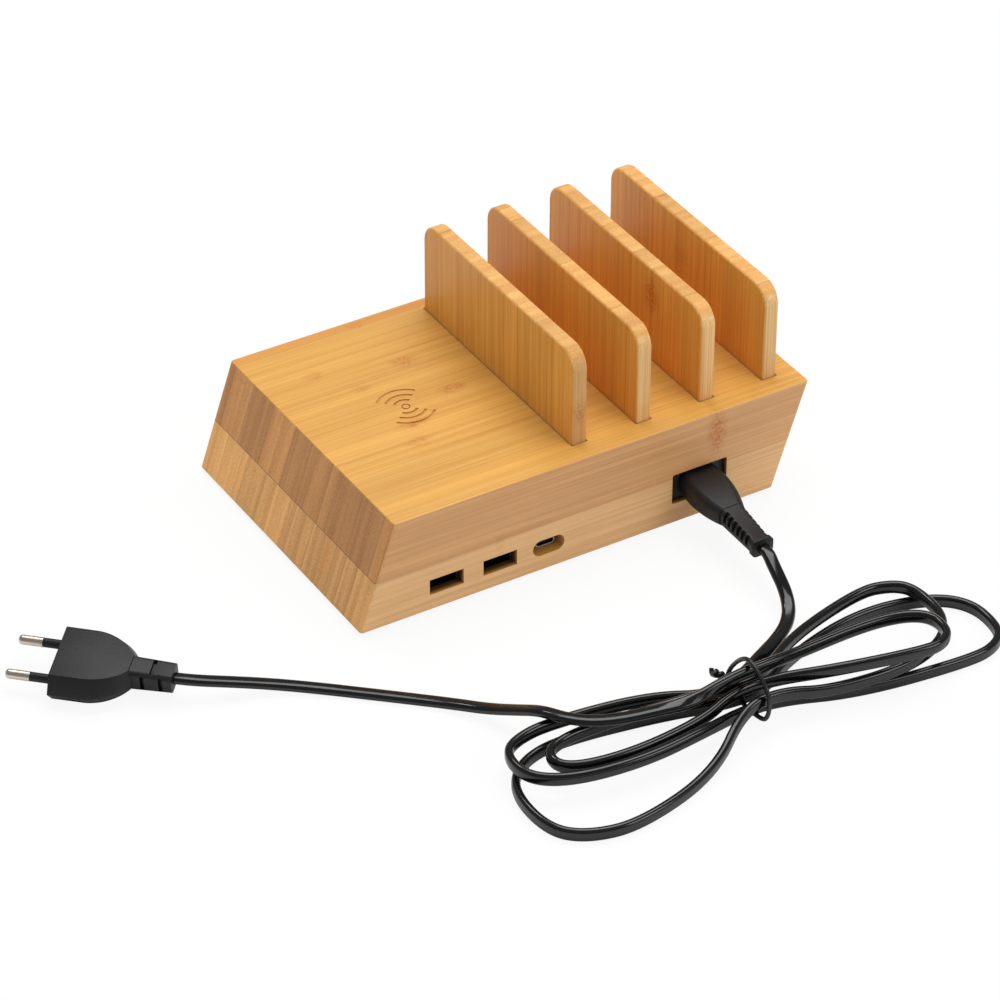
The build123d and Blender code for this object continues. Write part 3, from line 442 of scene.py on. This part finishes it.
# Bottom cover, feet and screws
# A black moulded plate closes the box from below. Four zinc-plated countersunk
# screws hold it, and it stands on four round rubber feet.
def moulded(name, colour, roughness, grain_size, depth, gloss=0.5):
    """Moulded plastic or rubber, slightly cloudy, with a fine even texture."""
    cloud_scale, cloud_contrast, dullness_spread, pit_strength = 90, 0.3, 0.1, 0.35
    material, place = finish(name, Specular_IOR_Level=gloss)
    cloud = place.noise((cloud_scale, cloud_scale, cloud_scale))
    pits = place.noise((1 / grain_size, 1 / grain_size, 1 / grain_size))
    level = 1 - cloud_contrast / 2 + cloud * cloud_contrast
    feed(material, "Base Color", level.shaded(paint(*colour)))
    feed(material, "Roughness", roughness - dullness_spread / 2 + cloud * dullness_spread)
    feed(material, "Normal", pits.dents(pit_strength, depth))
    return material


def plated(name, colour, roughness, scratches):
    """Plated metal with fine scratches, so many per metre along each axis."""
    darkest, scratch_contrast, scratch_dullness = 0.88, 0.2, 0.12
    material, place = finish(name, Metallic=1.0)
    lines = place.noise(scratches, 3.0)
    feed(material, "Base Color", (darkest + lines * scratch_contrast).shaded(paint(*colour)))
    feed(material, "Roughness", roughness + lines * scratch_dullness)
    return material


cover_plastic = moulded("cover_plastic", (44, 44, 45), 0.55, 0.0006, 0.00006)
dress(cover_plastic, "bottom_cover", "coil_holder")
dress(moulded("foot_rubber", (34, 34, 34), 0.75, 0.0004, 0.00005), "rubber_feet")
zinc_plate = plated("zinc_plate", (190, 192, 196), 0.28, (900, 900, 200))
dress(zinc_plate, "cover_screws", "holder_screws")


# Charging coil and circuit boards
# The coil of enamelled copper wire lies against the wood with a ferrite plate
# behind it. The charger board and the power board carry their parts below it.
copper, place = finish("coil_copper", Metallic=1.0)
coil_low, coil_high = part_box("charging_coil")
coil_middle = (coil_low + coil_high) / 2
turn_pitch, turn_contrast, turn_strength, turn_height = 0.0011, 0.2, 0.6, 0.0002
enamel, enamel_spread = 0.3, 0.1
from_middle = place.vector("DISTANCE", tuple(coil_middle), output=1)
turns = (from_middle * (2 * math.pi / turn_pitch)).wave()
turn_level = 1 - turn_contrast + turns * turn_contrast
feed(copper, "Base Color", turn_level.shaded(paint(196, 110, 66)))
feed(copper, "Roughness", enamel + abs(turns) * enamel_spread)
feed(copper, "Normal", turns.dents(turn_strength, turn_height))
dress(copper, "charging_coil")
ferrite = moulded("ferrite", (52, 52, 55), 0.7, 0.0008, 0.00004)
dress(ferrite, "ferrite_plate", "inductors")
solder_mask, place = finish("solder_mask", Coat_Weight=0.4)
board_gloss, track_dullness = 0.35, 0.1
tracks = place.noise((240, 900, 900), 0.0).rise(0.5, 0.53)
feed(solder_mask, "Base Color", tracks.blend(paint(16, 84, 44), paint(30, 112, 60)))
feed(solder_mask, "Roughness", board_gloss + tracks * track_dullness)
dress(solder_mask, "charger_board", "power_board")
transformer_tape = moulded("transformer_tape", (206, 166, 52), 0.45, 0.002, 0.00003)
dress(transformer_tape, "transformer")
capacitor_sleeve = moulded("capacitor_sleeve", (26, 30, 44), 0.3, 0.002, 0.00002)
dress(capacitor_sleeve, "smoothing_capacitors")
wire_insulation = moulded("wire_insulation", (170, 32, 28), 0.4, 0.002, 0.00002)
dress(wire_insulation, "mains_wires", "coil_leads")


# USB ports
# Two USB-A receptacles and a USB-C receptacle of folded tin-plated steel stand
# behind openings milled in the front, each with a black tongue and gilt contacts.
tin_plate = plated("tin_plate", (168, 168, 170), 0.3, (300, 1500, 300))
dress(tin_plate, "usb_c_shell")
shell_steel = plated("shell_steel", (72, 68, 64), 0.4, (300, 1500, 300))
dress(shell_steel, "usb_a_shells")
port_plastic = moulded("port_plastic", (24, 24, 25), 0.5, 0.0005, 0.00003)
dress(port_plastic, "usb_a_tongues", "usb_c_tongue", "usb_c_riser")
gilt = plated("gilt_contact", (226, 186, 104), 0.25, (400, 1200, 400))
dress(gilt, "usb_a_contacts", "connector_contacts")


# Mains inlet
# A moulded socket of dark plastic fills the opening in the front board, and two
# round nickel-plated pins stand in it.
inlet_plastic = moulded("inlet_plastic", (40, 40, 42), 0.5, 0.0005, 0.00004, 0.3)
dress(inlet_plastic, "inlet_housing")
nickel = plated("nickel_plate", (214, 202, 188), 0.26, (260, 260, 260))
dress(nickel, "inlet_pins")


# Mains plug and connector
# Both are moulded straight onto the cord in matt black plastic with a fine texture.
# The plug has two round pins, sleeved for half their length.
plug_plastic = moulded("plug_plastic", (24, 24, 25), 0.46, 0.0009, 0.0002, 0.35)


def softened(node, name, width, material):
    """A copy of a CAD piece with its moulded edges rounded over."""
    weld_distance = 0.000005
    flat_angle, edge_angle, smooth_angle = [math.radians(angle) for angle in (2, 25, 35)]
    piece = nodes[node].copy()
    piece.data = nodes[node].data.copy()
    piece.name = name
    piece.data.name = name
    piece.parent = None
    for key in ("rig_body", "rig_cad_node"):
        if key in piece:
            del piece[key]
    bpy.context.scene.collection.objects.link(piece)
    bpy.context.view_layer.objects.active = piece
    piece.select_set(True)
    bpy.ops.object.mode_set(mode="EDIT")
    bpy.ops.mesh.select_all(action="SELECT")
    bpy.ops.mesh.remove_doubles(threshold=weld_distance)
    bpy.ops.mesh.dissolve_limited(angle_limit=flat_angle)
    bpy.ops.object.mode_set(mode="OBJECT")
    rounding = piece.modifiers.new("rounding", "BEVEL")
    rounding.width = width
    rounding.segments = 3
    rounding.limit_method = "ANGLE"
    rounding.angle_limit = edge_angle
    rounding.harden_normals = False
    bpy.ops.object.modifier_apply(modifier="rounding")
    bpy.ops.object.shade_smooth_by_angle(angle=smooth_angle)
    piece.data.materials.clear()
    piece.data.materials.append(material)
    piece.select_set(False)
    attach(piece, "mains_lead")
    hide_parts(node)
    return piece


plug = softened("plug_body", "plug_moulding", 0.0006, plug_plastic)
softened("connector_body", "connector_moulding", 0.0003, plug_plastic)
dress(plug_plastic, "plug_pin_sleeves")
dress(nickel, "plug_pins")


# Mains cord
# Flat two-core cord with a smooth glossy black sheath, moulded into the connector
# at one end and the plug at the other. Its spare length is a figure-eight hank.
cord_width = 0.0056
cord_thickness = 0.0034
cord_exit = (0.0516, -0.1160, 0.0160)
hank_middle_y = -0.1836
hank_slot = 0.0041
hank_level = 0.00645
hank_neck = 0.009
hank_reach = 0.112
tie_radius = 0.0011
tie_clearance = 0.001
hank_lift = 2 * tie_radius + tie_clearance / 2
pass_slot_shares = (1.75, -1.5, 0.4, -2.6, 0.65, -0.3, 0.0)
pass_levels = (0, 0, 0, 1, 1, 1, 2.1)
lobe_levels = (1, 0, 0, 1, 1, 2.2)
lobe_reach_shares = (0.902, 1.0, 0.946, 0.83, 0.777, 0.732)
lobe_far_shares = (0.201, 0.228, 0.165, 0.272, 0.107, 0.030)
lobe_near_shares = (-0.138, -0.196, -0.357, -0.174, -0.085, -0.205)
lobe_tip_shares = (0.071, -0.027, -0.125, 0.125, 0.022, -0.105)
lobe_far_belly_shares = (0.76, 0.60, 0.72, 0.78, 0.76, 0.66)
lobe_near_belly_shares = (0.55, 0.82, 0.70, 0.62, 0.62, 0.84)
shoulder_x_share = 0.46
shoulder_y_share = 0.62
corner_x_share = 0.66
corner_y_share = 0.84
tip_y_share = 0.42
hank_start = (0.0190, -0.1639, 0.0051)
hank_end = (-0.0270, -0.1856, 0.0162)
connector_route = [
    cord_exit,
    (0.0516, -0.1200, 0.0160),
    (0.0506, -0.1250, 0.0139),
    (0.0501, -0.1298, 0.0114),
    (0.0498, -0.1348, 0.0082),
    (0.0481, -0.1404, 0.0052),
    (0.0442, -0.1464, 0.0038),
    (0.0372, -0.1527, 0.0033),
]
plug_route = [
    (-0.0415, -0.1824, 0.0157),
    (-0.0540, -0.1796, 0.0154),
    (-0.0655, -0.1752, 0.0153),
    (-0.0735, -0.1680, 0.0153),
    (-0.0786, -0.1586, 0.0147),
    (-0.0826, -0.1486, 0.0098),
    (-0.0885, -0.1366, 0.0046),
    (-0.0970, -0.1246, 0.0024),
    (-0.1085, -0.1133, 0.0018),
    (-0.1215, -0.1018, 0.0018),
    (-0.1363, -0.0890, 0.0019),
    (-0.1506, -0.0793, 0.0032),
    (-0.1655, -0.0732, 0.0062),
    (-0.180958, -0.066668, 0.008807),
    (-0.185689, -0.062211, 0.008807),
]


def pass_place(number):
    """Where one pass of the hank goes through the tie: its Y and Z."""
    y = hank_middle_y + hank_slot * pass_slot_shares[number]
    z = cord_width / 2 + hank_lift + hank_level * pass_levels[number]
    return y, z


def lobe_sign(number):
    """The lobes lie in turn to the left and to the right of the tie."""
    return 1 if number % 2 else -1


def lobe_side(number, pass_number, belly_share, belly_y_share):
    """One half of a lobe, from the waist's shoulder out to the tip."""
    reach = hank_reach * lobe_reach_shares[number]
    side = lobe_sign(number)
    waist_y = pass_place(pass_number)[0]
    belly_y = hank_middle_y + hank_reach * belly_y_share
    tip_y = hank_middle_y + hank_reach * lobe_tip_shares[number]
    corner_share = belly_share + corner_x_share * (1 - belly_share)
    z = cord_width / 2 + hank_level * lobe_levels[number]
    return [
        (side * shoulder_x_share * belly_share * reach,
         waist_y + shoulder_y_share * (belly_y - waist_y), z),
        (side * belly_share * reach, belly_y, z),
        (side * corner_share * reach, tip_y + corner_y_share * (belly_y - tip_y), z),
        (side * reach, tip_y + tip_y_share * (belly_y - tip_y), z),
    ]


hank_route = [hank_start]
for lobe in range(len(lobe_levels)):
    neck_x = lobe_sign(lobe) * hank_neck
    far = (lobe_far_belly_shares[lobe], lobe_far_shares[lobe])
    near = (lobe_near_belly_shares[lobe], lobe_near_shares[lobe])
    inward, outward = (near, far) if lobe % 2 else (far, near)
    hank_route.append((neck_x, *pass_place(lobe)))
    hank_route += lobe_side(lobe, lobe, *inward)
    hank_route += reversed(lobe_side(lobe, lobe + 1, *outward))
    hank_route.append((neck_x, *pass_place(lobe + 1)))
hank_route += [(-hank_neck, *pass_place(len(lobe_levels))), hank_end]

cord_route = connector_route + hank_route + plug_route
route_curve = bpy.data.curves.new("cord_route", "CURVE")
route_curve.dimensions = "3D"
route_spline = route_curve.splines.new("NURBS")
route_spline.points.add(len(cord_route) - 1)
for point, position in zip(route_spline.points, cord_route):
    point.co = (*position, 1)
route_spline.order_u = 3
route_spline.use_endpoint_u = True
route_spline.resolution_u = 9
route_object = bpy.data.objects.new("cord_route", route_curve)
route_line = bpy.data.meshes.new_from_object(route_object)
cord_path = [vertex.co.copy() for vertex in route_line.vertices]
bpy.data.objects.remove(route_object)


def distances_along(path):
    """How far along a path each of its points is."""
    run = [0.0]
    for before, after in zip(path, path[1:]):
        run.append(run[-1] + (after - before).length)
    return run


cord_run = distances_along(cord_path)


def run_at(position):
    """How far along the cord its nearest point to a position is."""
    target = Vector(position)
    nearest = min(range(len(cord_path)), key=lambda index: (cord_path[index] - target).length)
    return cord_run[nearest]


turn_length = 0.034
upright_from = run_at(hank_start)
upright_to = run_at(hank_end)


def standing(distance):
    """0 where the flat cord lies flat and 1 where it stands on edge in the hank."""
    up = min(max((distance - upright_from) / turn_length + 0.5, 0), 1)
    down = min(max((upright_to - distance) / turn_length + 0.5, 0), 1)
    share = min(up, down)
    return share * share * (3 - 2 * share)


arc_steps = 7
half_thick = cord_thickness / 2
half_flat = cord_width / 2 - half_thick
section = []
for end_side in (1, -1):
    for step in range(arc_steps + 1):
        angle = math.pi * (step / arc_steps - 0.5)
        across = half_flat + half_thick * math.cos(angle)
        up = half_thick * math.sin(angle)
        section.append((end_side * across, end_side * up))
ring_size = len(section)
cord_points = []
for index, position in enumerate(cord_path):
    before = cord_path[max(index - 1, 0)]
    after = cord_path[min(index + 1, len(cord_path) - 1)]
    along = (after - before).normalized()
    across = Vector((along.y, -along.x, 0)).normalized()
    above = across.cross(along).normalized()
    turn = standing(cord_run[index]) * math.pi / 2
    wide = across * math.cos(turn) + above * math.sin(turn)
    thin = above * math.cos(turn) - across * math.sin(turn)
    cord_points += [position + wide * u + thin * v for u, v in section]
cord_faces = []
for first in range(0, ring_size * (len(cord_path) - 1), ring_size):
    for corner in range(ring_size):
        here = first + corner
        beside = first + (corner + 1) % ring_size
        cord_faces.append((here, beside, beside + ring_size, here + ring_size))
cord_faces.append(tuple(range(ring_size)))
cord_faces.append(tuple(len(cord_points) - 1 - corner for corner in range(ring_size)))
cord_mesh = bpy.data.meshes.new("mains_cord")
cord_mesh.from_pydata(cord_points, [], cord_faces)
cord = bpy.data.objects.new("mains_cord", cord_mesh)
bpy.context.scene.collection.objects.link(cord)
bpy.context.view_layer.objects.active = cord
cord.select_set(True)
bpy.ops.object.mode_set(mode="EDIT")
bpy.ops.mesh.select_all(action="SELECT")
bpy.ops.mesh.normals_make_consistent(inside=False)
bpy.ops.object.mode_set(mode="OBJECT")
bpy.ops.object.shade_smooth_by_angle(angle=math.radians(50))
cord.select_set(False)
cord_sheath = moulded("cord_sheath", (12, 12, 13), 0.14, 0.004, 0.00006)
cord.data.materials.append(cord_sheath)
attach(cord, "mains_lead")
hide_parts("cord_hank", "cord_from_connector", "cord_to_plug")


# Twist tie
# Plastic-coated wire holds the hank at its waist. It goes once round all seven
# passes, and its two ends are twisted together.
half_wide = cord_thickness / 2 + tie_radius + tie_clearance
half_high = cord_width / 2 + tie_radius + tie_clearance
outer_slot_share = 0.85
first_far_y, first_z = pass_place(0)
first_far_y += hank_slot * outer_slot_share
near_y, near_z = pass_place(3)
low_near_y = pass_place(1)[0]
top_y, top_z = pass_place(len(lobe_levels))
tie_corners = [
    (first_far_y + half_wide, tie_radius),
    (low_near_y - half_wide, tie_radius),
    (near_y - half_wide, near_z - half_high),
    (near_y - half_wide, near_z + half_high),
    (top_y - half_wide, top_z + half_high),
    (top_y + half_wide, top_z + half_high),
    (first_far_y + half_wide, first_z + half_high),
]
tie_curve = bpy.data.curves.new("hank_tie", "CURVE")
tie_curve.dimensions = "3D"
tie_loop = tie_curve.splines.new("NURBS")
tie_loop.points.add(len(tie_corners) - 1)
for point, (y, z) in zip(tie_loop.points, tie_corners):
    point.co = (0, y, z, 1)
tie_loop.order_u = 3
tie_loop.use_cyclic_u = True
tie_loop.resolution_u = 10
tail_inset = 0.001
tail_start = Vector((0, first_far_y + half_wide - tail_inset, first_z + tail_inset))
tail_way = Vector((-0.75, 0.4, 0.45)).normalized()
tail_side = tail_way.cross(Vector((0, 0, 1))).normalized()
tail_rise = tail_side.cross(tail_way)
tail_length = 0.0075
tail_pitch = 0.0050
tail_points = 22
strand_offset = 0.0009
end_splay = 0.0016
splay_from = 0.8
for strand in (0, math.pi):
    wire = tie_curve.splines.new("NURBS")
    wire.points.add(tail_points - 1)
    for number, point in enumerate(wire.points):
        share = number / (tail_points - 1)
        along = tail_length * share
        angle = 2 * math.pi * along / tail_pitch + strand
        offset = tail_side * math.cos(angle) + tail_rise * math.sin(angle)
        spread = strand_offset + end_splay * max(0, share - splay_from) / (1 - splay_from)
        point.co = (*(tail_start + tail_way * along + offset * spread), 1)
    wire.order_u = 3
    wire.use_endpoint_u = True
    wire.resolution_u = 4
wire_share = 0.85
tie_curve.bevel_depth = tie_radius * wire_share
tie_curve.bevel_resolution = 4
tie_curve.use_fill_caps = True
tie = bpy.data.objects.new("hank_tie", tie_curve)
bpy.context.scene.collection.objects.link(tie)
bpy.context.view_layer.objects.active = tie
tie.select_set(True)
bpy.ops.object.convert(target="MESH")
tie = bpy.context.view_layer.objects.active
bpy.ops.object.shade_smooth()
tie.select_set(False)
tie_plastic = moulded("tie_plastic", (22, 22, 22), 0.35, 0.001, 0.00003)
tie.data.materials.clear()
tie.data.materials.append(tie_plastic)
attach(tie, "mains_lead")
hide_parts("twist_tie")


# Studio
# A white floor under a white sky, a wide soft lamp above, one in front and a small
# one behind for the sheen of the sheath, and the camera at the photograph's place.
bpy.ops.mesh.primitive_plane_add(size=12, location=(0, 0, 0))
floor = bpy.context.object
floor.name = "studio_floor"
floor.data.name = "studio_floor"
floor.select_set(False)
floor_paper = bpy.data.materials.new("floor_paper")
floor_paper.use_nodes = True
floor_tree = floor_paper.node_tree
floor_surface = floor_tree.nodes["Principled BSDF"]
floor_surface.inputs["Base Color"].default_value = (0.82, 0.82, 0.82, 1)
floor_surface.inputs["Roughness"].default_value = 0.9
floor_surface.inputs["Specular IOR Level"].default_value = 0.1
floor_glow = floor_tree.nodes.new("ShaderNodeEmission")
floor_glow.inputs["Strength"].default_value = 1.0
floor_whitening = 0.9
floor_rays = floor_tree.nodes.new("ShaderNodeLightPath")
seen = Shade(floor_tree, floor_rays.outputs["Is Camera Ray"])
floor_mix = seen.node("ShaderNodeMixShader", {}, {0: seen * floor_whitening}).socket.node
floor_tree.links.new(floor_surface.outputs["BSDF"], floor_mix.inputs[1])
floor_tree.links.new(floor_glow.outputs["Emission"], floor_mix.inputs[2])
floor_tree.links.new(floor_mix.outputs[0], floor_tree.nodes["Material Output"].inputs["Surface"])
floor.data.materials.append(floor_paper)

sky = bpy.data.worlds.new("studio_sky")
sky.use_nodes = True
bpy.context.scene.world = sky
sky_light = sky.node_tree.nodes["Background"]
sky_light.inputs["Color"].default_value = (1, 1, 1, 1)
sky_rays = sky.node_tree.nodes.new("ShaderNodeLightPath")
camera_ray = Shade(sky.node_tree, sky_rays.outputs["Is Camera Ray"])
glossy_ray = Shade(sky.node_tree, sky_rays.outputs["Is Glossy Ray"])
sky_level = 0.62
reflected_level = 0.26
strength = sky_level + camera_ray * (1 - sky_level) - glossy_ray * (sky_level - reflected_level)
sky.node_tree.links.new(strength.socket, sky_light.inputs["Strength"])


def lamp(name, position, aim, size, power):
    """A square soft lamp that points at a place on the object."""
    light = bpy.data.lights.new(name, "AREA")
    light.size = size
    light.energy = power
    placed = bpy.data.objects.new(name, light)
    placed.location = position
    placed.rotation_euler = (Vector(aim) - Vector(position)).to_track_quat("-Z", "Y").to_euler()
    bpy.context.scene.collection.objects.link(placed)


lamp("overhead_lamp", (0.35, 0.25, 1.5), (0, 0, 0.03), 1.1, 16)
lamp("front_lamp", (0.9, -1.4, 0.9), (0, -0.05, 0.03), 0.8, 7)
lamp("sheen_lamp", (-0.1, 0.7, 1.1), (0, -0.15, 0.01), 0.22, 1.6)

camera_data = bpy.data.cameras.new("camera")
camera_data.lens = 164.39
camera_data.sensor_width = 36
camera = bpy.data.objects.new("camera", camera_data)
camera_right = Vector((0.85590578, -0.5171219, 0.0031998))
camera_forward = Vector((0.42165264, 0.69428243, -0.58325034))
camera_up = camera_right.cross(camera_forward)
camera_place = Vector((-0.802575, -1.320023, 1.096177))
camera_turn = Matrix((camera_right, camera_up, -camera_forward)).transposed().to_4x4()
camera.matrix_world = Matrix.Translation(camera_place) @ camera_turn
bpy.context.scene.collection.objects.link(camera)
bpy.context.scene.camera = camera
bpy.context.scene.view_settings.view_transform = "Standard"
